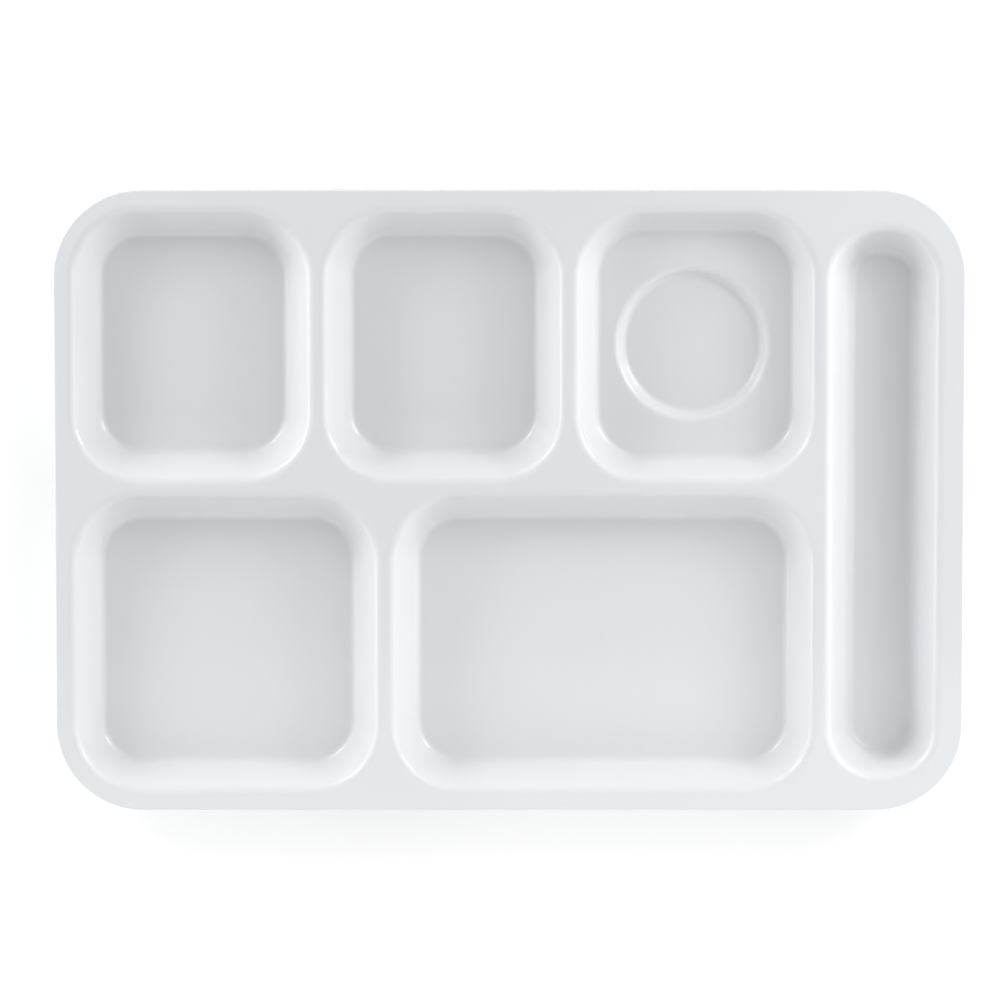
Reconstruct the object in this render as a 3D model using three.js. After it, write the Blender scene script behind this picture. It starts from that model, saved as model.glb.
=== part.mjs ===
// A cafeteria compartment tray, pressed in one piece from hard white plastic.
// It is modelled as the areas of that moulding: a flat deck, a rim that turns down around it,
// six compartments hung in the deck's openings, and a round seat in the floor of the cup compartment.
// Millimetres, +Z up, +X to the tray's right, +Y to its rear. The origin is on the table under its centre.

import * as THREE from "three";

// Sheet
const WALL = 3; // thickness of the deck, walls and floors
const DRAFT = THREE.MathUtils.degToRad(25.5); // lean of a compartment wall from the vertical
const ZONE_GAP = 0.05; // parting line between two neighbouring areas

// Flat deck left standing around the compartment mouths
const LAND = 0.8; // between two neighbouring mouths
const LEFT_BORDER = 2.45; // from the left mouths to the rim
const RIGHT_BORDER = 5.55; // from the cutlery mouth to the rim
const END_BORDER = 3.2; // from the front and rear mouths to the rim
const CORNER_BORDER = 3; // how much larger the deck's corner radius is than a mouth's

// Compartment mouths, measured where the flat deck ends
const MOUTH_CORNER_RADIUS = 30;
const REAR_MOUTH_LENGTH = 102; // along X, the same for all three rear compartments
const REAR_MOUTH_WIDTH = 115; // along Y
const FRONT_LEFT_MOUTH_LENGTH = 129.4;
const FRONT_MOUTH_WIDTH = 126.8;
const CUTLERY_MOUTH_LENGTH = 49.7; // along X
const CUTLERY_REAR_INSET = 7.2; // how far the slot stops short of the rear row's far side
const CUTLERY_FRONT_INSET = 5; // and of the front row's near side
const CUTLERY_END_FLAT = 3; // straight part of each round end

// Compartment section
const COMPARTMENT_DEPTH = 19.2;
const LIP_UNDER_RADIUS = 2; // underside of the rounded lip
const FLOOR_RADIUS = 4; // fillet between wall and floor

// Cup seat, sunk from a raised floor down to the level of the other floors
const CUP_SEAT_DEPTH = 4.4;
const CUP_SEAT_MOUTH_RADIUS = 32.7;
const CUP_SEAT_SHIFT = 1; // how far it lies left of the compartment's centre
const CUP_SEAT_LIP_UNDER_RADIUS = 0.5;
const CUP_SEAT_FLOOR_RADIUS = 3;

// Rim
const RIM_HEIGHT = 6;
const RIM_WALL = 2;
const RIM_LAND = 1.8; // level strip between the deck and the upper edge
const RIM_RADIUS = 0.5; // rounding of the upper edge
const RIM_FOOT_RADIUS = 0.6; // rounding of the lower edge
const RIM_FLARE = THREE.MathUtils.degToRad(3); // lean of the skirt from the vertical

// Fineness of the curved surfaces
const CORNER_STEPS = 8; // per quarter turn in plan, an even number
const ARC_STEPS = 3; // per rounded edge in section

const GLOSS_WHITE = { color: 0xedeff2, roughness: 0.2, metalness: 0 };

// Sizes that follow from the ones above
const CUP_DEPTH = COMPARTMENT_DEPTH - CUP_SEAT_DEPTH;
const DECK_TOP = COMPARTMENT_DEPTH + WALL;
const ROWS_LENGTH = 3 * REAR_MOUTH_LENGTH + 2 * LAND;
const ROWS_WIDTH = REAR_MOUTH_WIDTH + LAND + FRONT_MOUTH_WIDTH;
const MAIN_MOUTH_LENGTH = ROWS_LENGTH - LAND - FRONT_LEFT_MOUTH_LENGTH;
const CUTLERY_MOUTH_WIDTH = ROWS_WIDTH - CUTLERY_REAR_INSET - CUTLERY_FRONT_INSET;
const CUTLERY_CORNER_RADIUS = (CUTLERY_MOUTH_LENGTH - CUTLERY_END_FLAT) / 2;
const DECK_LENGTH = LEFT_BORDER + ROWS_LENGTH + LAND + CUTLERY_MOUTH_LENGTH + RIGHT_BORDER;
const DECK_WIDTH = ROWS_WIDTH + 2 * END_BORDER;
const DECK_CORNER_RADIUS = MOUTH_CORNER_RADIUS + CORNER_BORDER;

// Lines that the mouths start from, with the deck centred on the origin
const LEFT = LEFT_BORDER - DECK_LENGTH / 2;
const FRONT = END_BORDER - DECK_WIDTH / 2;
const REAR_ROW = FRONT + FRONT_MOUTH_WIDTH + LAND;
const REAR_STEP = REAR_MOUTH_LENGTH + LAND;

// A mouth's place and size from its front left corner
function mouth(left, front, length, width, radius = MOUTH_CORNER_RADIUS) {
  return { x: left + length / 2, y: front + width / 2, length, width, radius };
}

const mouths = {
  rear_left: mouth(LEFT, REAR_ROW, REAR_MOUTH_LENGTH, REAR_MOUTH_WIDTH),
  rear_middle: mouth(LEFT + REAR_STEP, REAR_ROW, REAR_MOUTH_LENGTH, REAR_MOUTH_WIDTH),
  cup: mouth(LEFT + 2 * REAR_STEP, REAR_ROW, REAR_MOUTH_LENGTH, REAR_MOUTH_WIDTH),
  front_left: mouth(LEFT, FRONT, FRONT_LEFT_MOUTH_LENGTH, FRONT_MOUTH_WIDTH),
  main: mouth(LEFT + FRONT_LEFT_MOUTH_LENGTH + LAND, FRONT, MAIN_MOUTH_LENGTH, FRONT_MOUTH_WIDTH),
  cutlery: mouth(
    LEFT + ROWS_LENGTH + LAND,
    FRONT + CUTLERY_FRONT_INSET,
    CUTLERY_MOUTH_LENGTH,
    CUTLERY_MOUTH_WIDTH,
    CUTLERY_CORNER_RADIUS,
  ),
};

// Points around a rounded rectangle centred on the origin, counter-clockwise from above.
// A positive inset moves the whole outline inwards, a negative one outwards.
function roundedRectangle({ length, width, radius }, inset = 0) {
  const corner = radius - inset;
  const x = length / 2 - radius;
  const y = width / 2 - radius;
  const quarter = Math.PI / 2;
  const path = new THREE.Path();
  path.absarc(x, y, corner, 0, quarter);
  path.absarc(-x, y, corner, quarter, 2 * quarter);
  path.absarc(-x, -y, corner, 2 * quarter, 3 * quarter);
  path.absarc(x, -y, corner, 3 * quarter, 4 * quarter);
  return path.getPoints(CORNER_STEPS / 2);
}

// Points around a circle, as many as a rounded rectangle has, each facing its fellow there
function circle(radius) {
  const count = 4 * (CORNER_STEPS + 1);
  return Array.from({ length: count }, (_, i) => {
    const angle = (2 * Math.PI * (i + 0.5)) / count;
    return new THREE.Vector2(radius * Math.cos(angle), radius * Math.sin(angle));
  });
}

// Lifts a flat outline to one height, as a ring for skin()
function ring(outline, height) {
  return outline.map((point) => new THREE.Vector3(point.x, point.y, height));
}

// A closed body whose surface runs through rings of one point count, from inside the upper face
// outwards and back along the lower face. The last ring joins the first one again,
// or, when capped, both are filled with a flat face.
function skin(rings, capped) {
  const count = rings[0].length;
  const index = [];
  const bands = capped ? rings.length - 1 : rings.length;
  for (let band = 0; band < bands; band += 1) {
    const inner = band * count;
    const outer = ((band + 1) % rings.length) * count;
    for (let i = 0; i < count; i += 1) {
      const next = (i + 1) % count;
      index.push(inner + i, outer + i, outer + next);
      index.push(inner + i, outer + next, inner + next);
    }
  }
  if (capped) {
    const last = (rings.length - 1) * count;
    for (const [a, b, c] of THREE.ShapeUtils.triangulateShape(rings[0], [])) {
      index.push(a, b, c);
    }
    for (const [a, b, c] of THREE.ShapeUtils.triangulateShape(rings[rings.length - 1], [])) {
      index.push(last + a, last + c, last + b);
    }
  }
  const geometry = new THREE.BufferGeometry().setFromPoints(rings.flat());
  geometry.setIndex(index);
  geometry.computeVertexNormals();
  return geometry;
}

// Section of a wall from a level edge down to a level floor: a rounded lip, a leaning straight and a fillet.
// x is the distance in from the edge and y the height, both 0 at the edge.
function wallSection(depth, lipRadius, floorRadius) {
  const turn = Math.PI / 2 - DRAFT;
  const straightFall = depth - (lipRadius + floorRadius) * (1 - Math.cos(turn));
  const run = (lipRadius + floorRadius) * Math.sin(turn) + straightFall / Math.tan(turn);
  const points = [];
  for (let step = 0; step <= ARC_STEPS; step += 1) {
    const angle = (turn * step) / ARC_STEPS;
    points.push(new THREE.Vector2(lipRadius * Math.sin(angle), lipRadius * (Math.cos(angle) - 1)));
  }
  for (let step = ARC_STEPS; step >= 0; step -= 1) {
    const angle = (turn * step) / ARC_STEPS;
    const rise = floorRadius * (1 - Math.cos(angle));
    points.push(new THREE.Vector2(run - floorRadius * Math.sin(angle), rise - depth));
  }
  return points;
}

// Both faces of a wall one sheet thick, from the floor up the upper face and down the lower one
function sheetSection(depth, lipUnderRadius, floorRadius) {
  const upper = wallSection(depth, lipUnderRadius + WALL, floorRadius);
  const lower = wallSection(depth, lipUnderRadius, floorRadius + WALL);
  return [...upper.reverse(), ...lower.map((point) => point.setY(point.y - WALL))];
}

// A pan with a flat floor, its mouth at height 0
function panGeometry(place) {
  const section = sheetSection(COMPARTMENT_DEPTH, LIP_UNDER_RADIUS, FLOOR_RADIUS);
  return skin(section.map((point) => ring(roundedRectangle(place, point.x), point.y)), true);
}

// The shallower pan with a round hole in its floor that takes the cup seat
function cupPanGeometry(place) {
  const section = sheetSection(CUP_DEPTH, LIP_UNDER_RADIUS, FLOOR_RADIUS);
  const shift = new THREE.Vector2(-CUP_SEAT_SHIFT, 0);
  const hole = circle(CUP_SEAT_MOUTH_RADIUS + ZONE_GAP).map((point) => point.add(shift));
  const walls = section.map((point) => ring(roundedRectangle(place, point.x), point.y));
  return skin([ring(hole, -CUP_DEPTH), ...walls, ring(hole, -CUP_DEPTH - WALL)], false);
}

// A round dish, its mouth at height 0
function cupSeatGeometry() {
  const section = sheetSection(CUP_SEAT_DEPTH, CUP_SEAT_LIP_UNDER_RADIUS, CUP_SEAT_FLOOR_RADIUS);
  return skin(section.map((point) => ring(circle(CUP_SEAT_MOUTH_RADIUS - point.x), point.y)), true);
}

const deckOutline = { length: DECK_LENGTH, width: DECK_WIDTH, radius: DECK_CORNER_RADIUS };

// The flat sheet, its upper face at height 0, with an opening for every compartment
function deckGeometry() {
  const shape = new THREE.Shape(roundedRectangle(deckOutline));
  for (const place of Object.values(mouths)) {
    const centre = new THREE.Vector2(place.x, place.y);
    const opening = roundedRectangle(place, -ZONE_GAP).map((point) => point.add(centre));
    shape.holes.push(new THREE.Path(opening));
  }
  return new THREE.ExtrudeGeometry(shape, { depth: WALL, bevelEnabled: false }).translate(0, 0, -WALL);
}

// The rounded edge and flared skirt around the deck, its upper face at height 0.
// The section runs from the deck's edge over the outside and back up the inside; x is the distance out.
function rimGeometry() {
  const turn = Math.PI / 2 - RIM_FLARE;
  const shoulder = RIM_RADIUS * (1 - Math.cos(turn));
  const corner = RIM_LAND + RIM_RADIUS * Math.sin(turn);
  const outside = (height) => corner + (-height - shoulder) * Math.tan(RIM_FLARE);
  const inside = (height) => outside(height) - RIM_WALL;
  const foot = RIM_FOOT_RADIUS - RIM_HEIGHT;
  const section = [[0, 0]];
  for (let step = 0; step <= ARC_STEPS; step += 1) {
    const angle = (turn * step) / ARC_STEPS;
    section.push([RIM_LAND + RIM_RADIUS * Math.sin(angle), RIM_RADIUS * (Math.cos(angle) - 1)]);
  }
  section.push([outside(foot), foot]);
  section.push([outside(-RIM_HEIGHT) - RIM_FOOT_RADIUS, -RIM_HEIGHT]);
  section.push([inside(-RIM_HEIGHT) + RIM_FOOT_RADIUS, -RIM_HEIGHT]);
  section.push([inside(foot), foot]);
  section.push([inside(-WALL), -WALL]);
  section.push([0, -WALL]);
  const outline = (out) => roundedRectangle(deckOutline, -ZONE_GAP - out);
  return skin(section.map(([out, height]) => ring(outline(out), height)), false);
}

const tray = new THREE.Group();

function addPiece(name, geometry, x = 0, y = 0, height = DECK_TOP) {
  const piece = new THREE.Mesh(geometry, new THREE.MeshStandardMaterial(GLOSS_WHITE));
  piece.name = name;
  piece.position.set(x, y, height);
  tray.add(piece);
}

addPiece("deck", deckGeometry());
addPiece("rim", rimGeometry());
for (const [name, place] of Object.entries(mouths)) {
  const geometry = name === "cup" ? cupPanGeometry(place) : panGeometry(place);
  addPiece(`${name}_compartment`, geometry, place.x, place.y);
}
addPiece("cup_seat", cupSeatGeometry(), mouths.cup.x - CUP_SEAT_SHIFT, mouths.cup.y, DECK_TOP - CUP_DEPTH);

export default tray;
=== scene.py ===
"""Looks of the compartment tray: each area of the moulding as a smooth piece in glossy white plastic."""

import math

import bmesh
import bpy
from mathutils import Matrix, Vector


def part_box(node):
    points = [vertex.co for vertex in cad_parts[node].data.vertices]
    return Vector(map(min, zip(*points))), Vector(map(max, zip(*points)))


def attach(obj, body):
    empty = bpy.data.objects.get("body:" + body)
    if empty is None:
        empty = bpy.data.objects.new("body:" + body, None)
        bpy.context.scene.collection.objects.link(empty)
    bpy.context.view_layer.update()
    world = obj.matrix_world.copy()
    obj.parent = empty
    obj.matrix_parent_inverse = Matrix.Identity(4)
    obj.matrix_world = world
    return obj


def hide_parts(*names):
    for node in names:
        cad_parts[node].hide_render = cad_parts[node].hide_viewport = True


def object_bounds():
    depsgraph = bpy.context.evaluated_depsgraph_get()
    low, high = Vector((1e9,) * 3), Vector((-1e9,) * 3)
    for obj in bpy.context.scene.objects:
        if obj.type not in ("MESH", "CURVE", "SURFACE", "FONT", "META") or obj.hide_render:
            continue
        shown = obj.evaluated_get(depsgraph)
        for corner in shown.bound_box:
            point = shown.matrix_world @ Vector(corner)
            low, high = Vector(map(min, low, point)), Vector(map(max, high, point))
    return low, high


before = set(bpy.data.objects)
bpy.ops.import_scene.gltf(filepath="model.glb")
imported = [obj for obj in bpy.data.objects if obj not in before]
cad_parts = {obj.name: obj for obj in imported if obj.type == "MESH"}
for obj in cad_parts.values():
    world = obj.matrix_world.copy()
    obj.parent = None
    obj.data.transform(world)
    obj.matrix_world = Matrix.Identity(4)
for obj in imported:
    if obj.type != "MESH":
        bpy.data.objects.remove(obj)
cad_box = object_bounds()

# Section of the moulding, in metres and radians
DRAFT = math.radians(25.5)
LIP_UNDER_RADIUS = 0.002
FLOOR_RADIUS = 0.004
CUP_SEAT_LIP_UNDER_RADIUS = 0.0005
CUP_SEAT_FLOOR_RADIUS = 0.003
RIM_LAND = 0.0018
RIM_RADIUS = 0.0005
RIM_FOOT_RADIUS = 0.0006
RIM_WALL = 0.002
RIM_FLARE = math.radians(3)

# Plan of the moulding
MOUTH_CORNER_RADIUS = 0.03
DECK_CORNER_RADIUS = 0.033
CUTLERY_END_FLAT = 0.003
CUP_SEAT_MOUTH_RADIUS = 0.0327

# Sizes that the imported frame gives
deck_low, deck_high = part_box("deck")
DECK_TOP = deck_high.z
WALL = deck_high.z - deck_low.z

# Fineness of the curved surfaces, and the angle from which an edge shows as a sharp one
CORNER_STEPS = 24
ARC_STEPS = 12
SLIVER = 0.01
SHARP_ANGLE = math.radians(40)

# White plastic: cloudy tint, gloss that varies at hand scale, and faint orange peel (depth in metres)
PLASTIC_IOR = 1.55
TINT_SCALE = 14
TINT_DETAIL = 4
TINT_ENDS = ((0.3, (0.838, 0.859, 0.88, 1)), (0.7, (0.854, 0.875, 0.896, 1)))
GLOSS_SCALE = 90
GLOSS_DETAIL = 6
GLOSS_ROUGHNESS_LOW = 0.08
GLOSS_ROUGHNESS_HIGH = 0.16
PEEL_SCALE = 350
PEEL_DETAIL = 2
PEEL_STRENGTH = 0.05
PEEL_DEPTH = 0.0002

# Floor, with its own glow beside the tray and where the lamps no longer reach, and those two distances
WHITE = (1, 1, 1, 1)
FLOOR_SIZE = 8.0
FLOOR_COLOUR = (0.9, 0.9, 0.9, 1)
FLOOR_GLOW_NEAR = 0.33
FLOOR_GLOW_FAR = 1.0
FLOOR_NEAR = 0.3
FLOOR_FAR = 0.8

# Light that the white surround gives from the right, left, rear and front: axis, way along it, strength
SURROUND_SIDES = (("X", 1, 0.43), ("X", -1, 0.43), ("Y", 1, 0.41), ("Y", -1, 0.42))

# Camera, from the photograph
PHOTO_SIZE = 1000
SENSOR_WIDTH_MM = 36
CAMERA_DISTANCE = 2.0
CAMERA_TILT = math.radians(4.8)
PIXELS_PER_METRE = 2452
TRAY_CENTRE_PIXEL = (509.35, 501.7)


def centre_and_size(node):
    """Centre of a node in plan, and its length along X and width along Y."""
    low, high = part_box(node)
    return (low + high).xy / 2, (high - low).xy


def rounded_rectangle(size, radius, inset=0.0):
    """Points of a rounded rectangle about the origin, counter-clockwise; a negative inset widens it."""
    points = []
    for corner, (side_x, side_y) in enumerate(((1, 1), (-1, 1), (-1, -1), (1, -1))):
        centre = Vector((side_x * (size.x / 2 - radius), side_y * (size.y / 2 - radius)))
        for step in range(CORNER_STEPS + 1):
            angle = math.pi / 2 * (corner + step / CORNER_STEPS)
            points.append(centre + (radius - inset) * Vector((math.cos(angle), math.sin(angle))))
    return points


def circle(radius):
    """Points of a circle, as many as a rounded rectangle has and in about the same directions."""
    count = 4 * (CORNER_STEPS + 1)
    angles = [2 * math.pi * (i + 0.5) / count for i in range(count)]
    return [radius * Vector((math.cos(angle), math.sin(angle))) for angle in angles]


def ring(outline, height, centre):
    """A flat outline lifted to one height and moved to its place."""
    return [(*(point + centre), height) for point in outline]


def arc_angles(turn):
    """Angles along a rounded edge; a sliver at each end lets its shading run flat into what it meets."""
    inner = [turn * step / ARC_STEPS for step in range(1, ARC_STEPS)]
    return [0, turn * SLIVER, *inner, turn * (1 - SLIVER), turn]


def wall_section(depth, lip_radius, floor_radius):
    """Distances in from a level edge and heights from it: a rounded lip, a leaning straight, a fillet."""
    turn = math.pi / 2 - DRAFT
    straight_fall = depth - (lip_radius + floor_radius) * (1 - math.cos(turn))
    run = (lip_radius + floor_radius) * math.sin(turn) + straight_fall / math.tan(turn)
    angles = arc_angles(turn)
    lip = [(lip_radius * math.sin(a), lip_radius * (math.cos(a) - 1)) for a in angles]
    fillet = [(run - floor_radius * math.sin(a), floor_radius * (1 - math.cos(a)) - depth) for a in angles]
    return lip + fillet[::-1]


def sheet_section(depth, lip_under_radius, floor_radius):
    """Both faces of a wall one sheet thick, from the floor up the upper face and down the lower one."""
    upper = wall_section(depth, lip_under_radius + WALL, floor_radius)
    lower = wall_section(depth, lip_under_radius, floor_radius + WALL)
    return upper[::-1] + [(inset, height - WALL) for inset, height in lower]


def mouth_radius(node):
    """Corner radius of a compartment's mouth; the cutlery slot's ends are almost round."""
    if node == "cutlery_compartment":
        return (centre_and_size(node)[1].x - CUTLERY_END_FLAT) / 2
    return MOUTH_CORNER_RADIUS


def pan_rings(node):
    """Rings of a compartment from its floor up to the mouth and down its underside."""
    centre, size = centre_and_size(node)
    depth = DECK_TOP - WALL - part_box(node)[0].z
    radius = mouth_radius(node)
    section = sheet_section(depth, LIP_UNDER_RADIUS, FLOOR_RADIUS)
    return [ring(rounded_rectangle(size, radius, inset), DECK_TOP + rise, centre) for inset, rise in section]


def cup_pan_rings():
    """Rings of the cup compartment, from the edge of its round hole outwards and back under its floor."""
    centre = centre_and_size("cup_seat")[0]
    hole = circle(CUP_SEAT_MOUTH_RADIUS)
    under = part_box("cup_compartment")[0].z
    return [ring(hole, under + WALL, centre), *pan_rings("cup_compartment"), ring(hole, under, centre)]


def cup_seat_rings():
    """Rings of the round seat sunk into the cup compartment's floor."""
    centre = centre_and_size("cup_seat")[0]
    low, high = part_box("cup_seat")
    section = sheet_section(high.z - low.z - WALL, CUP_SEAT_LIP_UNDER_RADIUS, CUP_SEAT_FLOOR_RADIUS)
    return [ring(circle(CUP_SEAT_MOUTH_RADIUS - inset), high.z + rise, centre) for inset, rise in section]


def rim_section():
    """Distances out from the deck's edge and drops below its top: rounded edge, flared skirt, inside."""
    turn = math.pi / 2 - RIM_FLARE
    edge = [(RIM_LAND + RIM_RADIUS * math.sin(a), RIM_RADIUS * (1 - math.cos(a))) for a in arc_angles(turn)]
    edge_out, edge_drop = edge[-1]

    def skirt_out(drop):
        return edge_out + (drop - edge_drop) * math.tan(RIM_FLARE)

    foot_drop = DECK_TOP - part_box("rim")[0].z - RIM_FOOT_RADIUS
    foot_out = skirt_out(foot_drop)
    foot_in = foot_out - RIM_WALL
    outer_foot = []
    inner_foot = []
    for step in range(ARC_STEPS + 1):
        angle = math.pi / 2 * step / ARC_STEPS
        inset = RIM_FOOT_RADIUS * (1 - math.cos(angle))
        drop = foot_drop + RIM_FOOT_RADIUS * math.sin(angle)
        outer_foot.append((foot_out - inset, drop))
        inner_foot.append((foot_in + inset, drop))
    return [(0, 0), *edge, *outer_foot, *inner_foot[::-1], (skirt_out(WALL) - RIM_WALL, WALL), (0, WALL)]


def rim_rings():
    """Rings of the rim, from the deck's edge over the outside and back up the inside."""
    centre, size = centre_and_size("deck")
    outlines = [(rounded_rectangle(size, DECK_CORNER_RADIUS, -out), drop) for out, drop in rim_section()]
    return [ring(outline, DECK_TOP - drop, centre) for outline, drop in outlines]


def skin(name, rings, capped):
    """A closed mesh through rings of one point count; the last joins the first unless both are capped."""
    count = len(rings[0])
    faces = []
    for band in range(len(rings) - 1 if capped else len(rings)):
        inner = band * count
        outer = (band + 1) % len(rings) * count
        for i in range(count):
            j = (i + 1) % count
            faces.append((inner + i, outer + i, outer + j, inner + j))
    if capped:
        last = (len(rings) - 1) * count
        for i in range(count // 2 - 1):
            j = count - 1 - i
            faces.append((i, i + 1, j - 1, j))
            faces.append((last + j, last + j - 1, last + i + 1, last + i))
    mesh = bpy.data.meshes.new(name)
    mesh.from_pydata([point for points in rings for point in points], [], faces)
    return mesh


def deck_mesh(compartments):
    """The flat sheet with an opening for every compartment."""
    centre, size = centre_and_size("deck")
    outlines = [ring(rounded_rectangle(size, DECK_CORNER_RADIUS), DECK_TOP, centre)]
    for node in compartments:
        place, mouth = centre_and_size(node)
        outlines.append(ring(rounded_rectangle(mouth, mouth_radius(node)), DECK_TOP, place))
    build = bmesh.new()
    for outline in outlines:
        corners = [build.verts.new(point) for point in outline]
        for here, there in zip(corners, corners[1:] + corners[:1]):
            build.edges.new((here, there))
    filled = bmesh.ops.triangle_fill(build, edges=build.edges, use_beauty=True, normal=(0, 0, 1))
    faces = [part for part in filled["geom"] if isinstance(part, bmesh.types.BMFace)]
    extruded = bmesh.ops.extrude_face_region(build, geom=faces)
    lowered = [part for part in extruded["geom"] if isinstance(part, bmesh.types.BMVert)]
    bmesh.ops.translate(build, verts=lowered, vec=(0, 0, -WALL))
    bmesh.ops.recalc_face_normals(build, faces=build.faces)
    mesh = bpy.data.meshes.new("deck_sheet")
    build.to_mesh(mesh)
    build.free()
    return mesh


def add_piece(mesh, node, material):
    """Shows a mesh in place of a CAD node, smooth but for the edges where two areas part."""
    mesh.polygons.foreach_set("use_smooth", [True] * len(mesh.polygons))
    mesh.set_sharp_from_angle(angle=SHARP_ANGLE)
    mesh.materials.append(material)
    piece = bpy.data.objects.new(mesh.name, mesh)
    bpy.context.scene.collection.objects.link(piece)
    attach(piece, "root")
    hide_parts(node)


def new_material(name):
    """A material, its node tree and its shader node."""
    material = bpy.data.materials.new(name)
    material.use_nodes = True
    return material, material.node_tree, material.node_tree.nodes["Principled BSDF"]


def noise(tree, scale, detail):
    """The value of a noise node that keeps to the piece."""
    place = tree.nodes.new("ShaderNodeTexCoord")
    texture = tree.nodes.new("ShaderNodeTexNoise")
    texture.inputs["Scale"].default_value = scale
    texture.inputs["Detail"].default_value = detail
    tree.links.new(place.outputs["Object"], texture.inputs["Vector"])
    return texture.outputs["Fac"]


def gloss_white():
    """Hard, glossy, slightly cool white plastic with the faint unevenness of a pressed surface."""
    material, tree, shader = new_material("gloss_white_plastic")
    shader.inputs["IOR"].default_value = PLASTIC_IOR

    tint = tree.nodes.new("ShaderNodeValToRGB")
    for end, (position, colour) in zip(tint.color_ramp.elements, TINT_ENDS):
        end.position = position
        end.color = colour
    tree.links.new(noise(tree, TINT_SCALE, TINT_DETAIL), tint.inputs["Fac"])
    tree.links.new(tint.outputs["Color"], shader.inputs["Base Color"])

    gloss = tree.nodes.new("ShaderNodeMapRange")
    gloss.inputs["To Min"].default_value = GLOSS_ROUGHNESS_LOW
    gloss.inputs["To Max"].default_value = GLOSS_ROUGHNESS_HIGH
    tree.links.new(noise(tree, GLOSS_SCALE, GLOSS_DETAIL), gloss.inputs["Value"])
    tree.links.new(gloss.outputs["Result"], shader.inputs["Roughness"])

    bump = tree.nodes.new("ShaderNodeBump")
    bump.inputs["Strength"].default_value = PEEL_STRENGTH
    bump.inputs["Distance"].default_value = PEEL_DEPTH
    tree.links.new(noise(tree, PEEL_SCALE, PEEL_DETAIL), bump.inputs["Height"])
    tree.links.new(bump.outputs["Normal"], shader.inputs["Normal"])
    return material


def build_tray():
    """Every area of the moulding, each in place of its CAD node."""
    white = gloss_white()
    compartments = [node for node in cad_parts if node.endswith("_compartment")]
    for node in compartments:
        if node == "cup_compartment":
            mesh = skin("cup_pan", cup_pan_rings(), capped=False)
        else:
            mesh = skin(node.replace("_compartment", "_pan"), pan_rings(node), capped=True)
        add_piece(mesh, node, white)
    add_piece(skin("cup_ring_seat", cup_seat_rings(), capped=True), "cup_seat", white)
    add_piece(skin("rim_skirt", rim_rings(), capped=False), "rim", white)
    add_piece(deck_mesh(compartments), "deck", white)


def math_node(tree, operation, *terms):
    """A math node whose terms are other nodes' outputs or plain numbers."""
    node = tree.nodes.new("ShaderNodeMath")
    node.operation = operation
    for socket, term in zip(node.inputs, terms):
        if isinstance(term, bpy.types.NodeSocket):
            tree.links.new(term, socket)
        else:
            socket.default_value = term
    return node


def seen_ray(tree):
    """An output that is 1 for rays that show the background: to the camera, mirrored or through glass."""
    rays = tree.nodes.new("ShaderNodeLightPath").outputs
    seen = math_node(tree, "MAXIMUM", rays["Is Camera Ray"], rays["Is Glossy Ray"]).outputs["Value"]
    return math_node(tree, "MAXIMUM", seen, rays["Is Transmission Ray"]).outputs["Value"]


def floor_material():
    """Matt and pale, with a glow that grows outward and is seen only by rays that show the floor."""
    material, tree, shader = new_material("pale_floor")
    shader.inputs["Base Color"].default_value = FLOOR_COLOUR
    shader.inputs["Roughness"].default_value = 1
    shader.inputs["Specular IOR Level"].default_value = 0
    shader.inputs["Emission Color"].default_value = WHITE
    place = tree.nodes.new("ShaderNodeTexCoord")
    distance = tree.nodes.new("ShaderNodeVectorMath")
    distance.operation = "LENGTH"
    tree.links.new(place.outputs["Object"], distance.inputs[0])
    glow = tree.nodes.new("ShaderNodeMapRange")
    glow.inputs["From Min"].default_value = FLOOR_NEAR
    glow.inputs["From Max"].default_value = FLOOR_FAR
    glow.inputs["To Min"].default_value = FLOOR_GLOW_NEAR
    glow.inputs["To Max"].default_value = FLOOR_GLOW_FAR
    tree.links.new(distance.outputs["Value"], glow.inputs["Value"])
    shown = math_node(tree, "MULTIPLY", seen_ray(tree), glow.outputs["Result"])
    tree.links.new(shown.outputs["Value"], shader.inputs["Emission Strength"])
    return material


def add_floor():
    """A pale table top that shows as white and keeps the tray's shadow."""
    build = bmesh.new()
    bmesh.ops.create_grid(build, x_segments=1, y_segments=1, size=FLOOR_SIZE / 2)
    mesh = bpy.data.meshes.new("floor")
    build.to_mesh(mesh)
    build.free()
    mesh.materials.append(floor_material())
    floor = bpy.data.objects.new("floor", mesh)
    floor.location.z = cad_box[0].z
    bpy.context.scene.collection.objects.link(floor)


def side_glow(tree):
    """An output that is the surround's light by direction: none overhead, and most from the sides."""
    place = tree.nodes.new("ShaderNodeTexCoord")
    split = tree.nodes.new("ShaderNodeSeparateXYZ")
    tree.links.new(place.outputs["Generated"], split.inputs["Vector"])
    total = 0
    for axis, way, strength in SURROUND_SIDES:
        facing = math_node(tree, "MULTIPLY", split.outputs[axis], way)
        facing.use_clamp = True
        square = math_node(tree, "MULTIPLY", facing.outputs["Value"], facing.outputs["Value"])
        total = math_node(tree, "MULTIPLY_ADD", square.outputs["Value"], strength, total).outputs["Value"]
    return total


def add_world():
    """A white surround that shows as plain white wherever the floor ends."""
    world = bpy.data.worlds.new("studio")
    bpy.context.scene.world = world
    world.use_nodes = True
    tree = world.node_tree
    background = tree.nodes["Background"]
    background.inputs["Color"].default_value = WHITE
    level = tree.nodes.new("ShaderNodeMapRange")
    level.inputs["To Max"].default_value = 1
    tree.links.new(side_glow(tree), level.inputs["To Min"])
    tree.links.new(seen_ray(tree), level.inputs["Value"])
    tree.links.new(level.outputs["Result"], background.inputs["Strength"])


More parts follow.
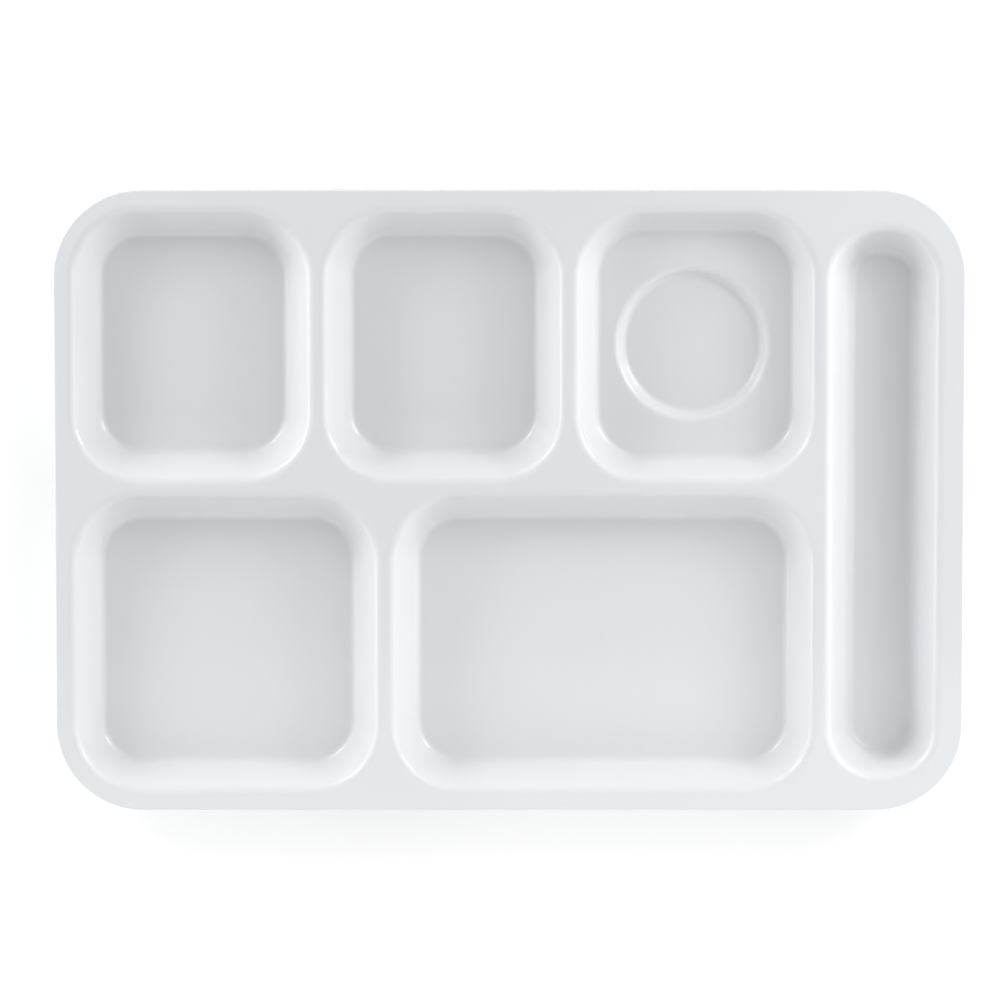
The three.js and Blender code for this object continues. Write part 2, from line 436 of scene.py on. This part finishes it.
def add_lamp(name, azimuth, elevation, distance, size, power):
    """A soft lamp aimed at the tray; azimuth is counted from the tray's right, counter-clockwise."""
    lamp = bpy.data.lights.new(name, "AREA")
    lamp.shape = "RECTANGLE"
    lamp.size, lamp.size_y = size
    lamp.energy = power
    across = math.radians(azimuth)
    up = math.radians(elevation)
    way = Vector((math.cos(across) * math.cos(up), math.sin(across) * math.cos(up), math.sin(up)))
    holder = bpy.data.objects.new(name, lamp)
    holder.location = way * distance
    holder.rotation_mode = "QUATERNION"
    holder.rotation_quaternion = (-way).to_track_quat("-Z", "Y")
    bpy.context.scene.collection.objects.link(holder)


def add_lamps():
    """Large dim softboxes and strips shade the tray, and small spots before them put glints on its lips."""
    add_lamp("right_softbox", azimuth=27, elevation=35, distance=0.9, size=(1.2, 0.7), power=3.55)
    add_lamp("right_spot", azimuth=27, elevation=27, distance=0.8, size=(0.22, 0.1), power=0.67)
    add_lamp("low_right_spot", azimuth=26, elevation=20, distance=0.8, size=(0.22, 0.1), power=0.67)
    add_lamp("right_strip", azimuth=0, elevation=7, distance=0.9, size=(0.6, 0.15), power=1.0)
    add_lamp("left_softbox", azimuth=153, elevation=35, distance=0.9, size=(1.0, 0.5), power=1.05)
    add_lamp("left_spot", azimuth=150, elevation=27, distance=0.8, size=(0.22, 0.1), power=0.45)
    add_lamp("low_left_softbox", azimuth=153, elevation=14, distance=0.9, size=(1.4, 0.36), power=3.2)
    add_lamp("low_left_spot", azimuth=145, elevation=20, distance=0.8, size=(0.22, 0.1), power=0.5)
    add_lamp("left_strip", azimuth=180, elevation=7, distance=0.9, size=(0.6, 0.15), power=0.52)
    add_lamp("front_strip", azimuth=270, elevation=25, distance=0.4, size=(0.8, 0.2), power=0.58)
    add_lamp("high_front_strip", azimuth=270, elevation=60, distance=0.4, size=(0.6, 0.2), power=0.22)


def add_camera():
    """Looks down on the deck from a little behind the upright, framed as the photograph is."""
    data = bpy.data.cameras.new("camera")
    data.sensor_width = SENSOR_WIDTH_MM
    data.lens = SENSOR_WIDTH_MM * PIXELS_PER_METRE * CAMERA_DISTANCE / PHOTO_SIZE
    aim_x = (PHOTO_SIZE / 2 - TRAY_CENTRE_PIXEL[0]) / PIXELS_PER_METRE
    aim_y = (TRAY_CENTRE_PIXEL[1] - PHOTO_SIZE / 2) / PIXELS_PER_METRE
    aim = Vector((aim_x, aim_y, DECK_TOP))
    back = Vector((0, math.sin(CAMERA_TILT), math.cos(CAMERA_TILT)))
    camera = bpy.data.objects.new("camera", data)
    camera.location = aim + back * CAMERA_DISTANCE
    camera.rotation_euler.x = -CAMERA_TILT
    bpy.context.scene.collection.objects.link(camera)
    bpy.context.scene.camera = camera


bpy.context.scene.view_settings.view_transform = "Standard"
build_tray()
add_floor()
add_world()
add_lamps()
add_camera()
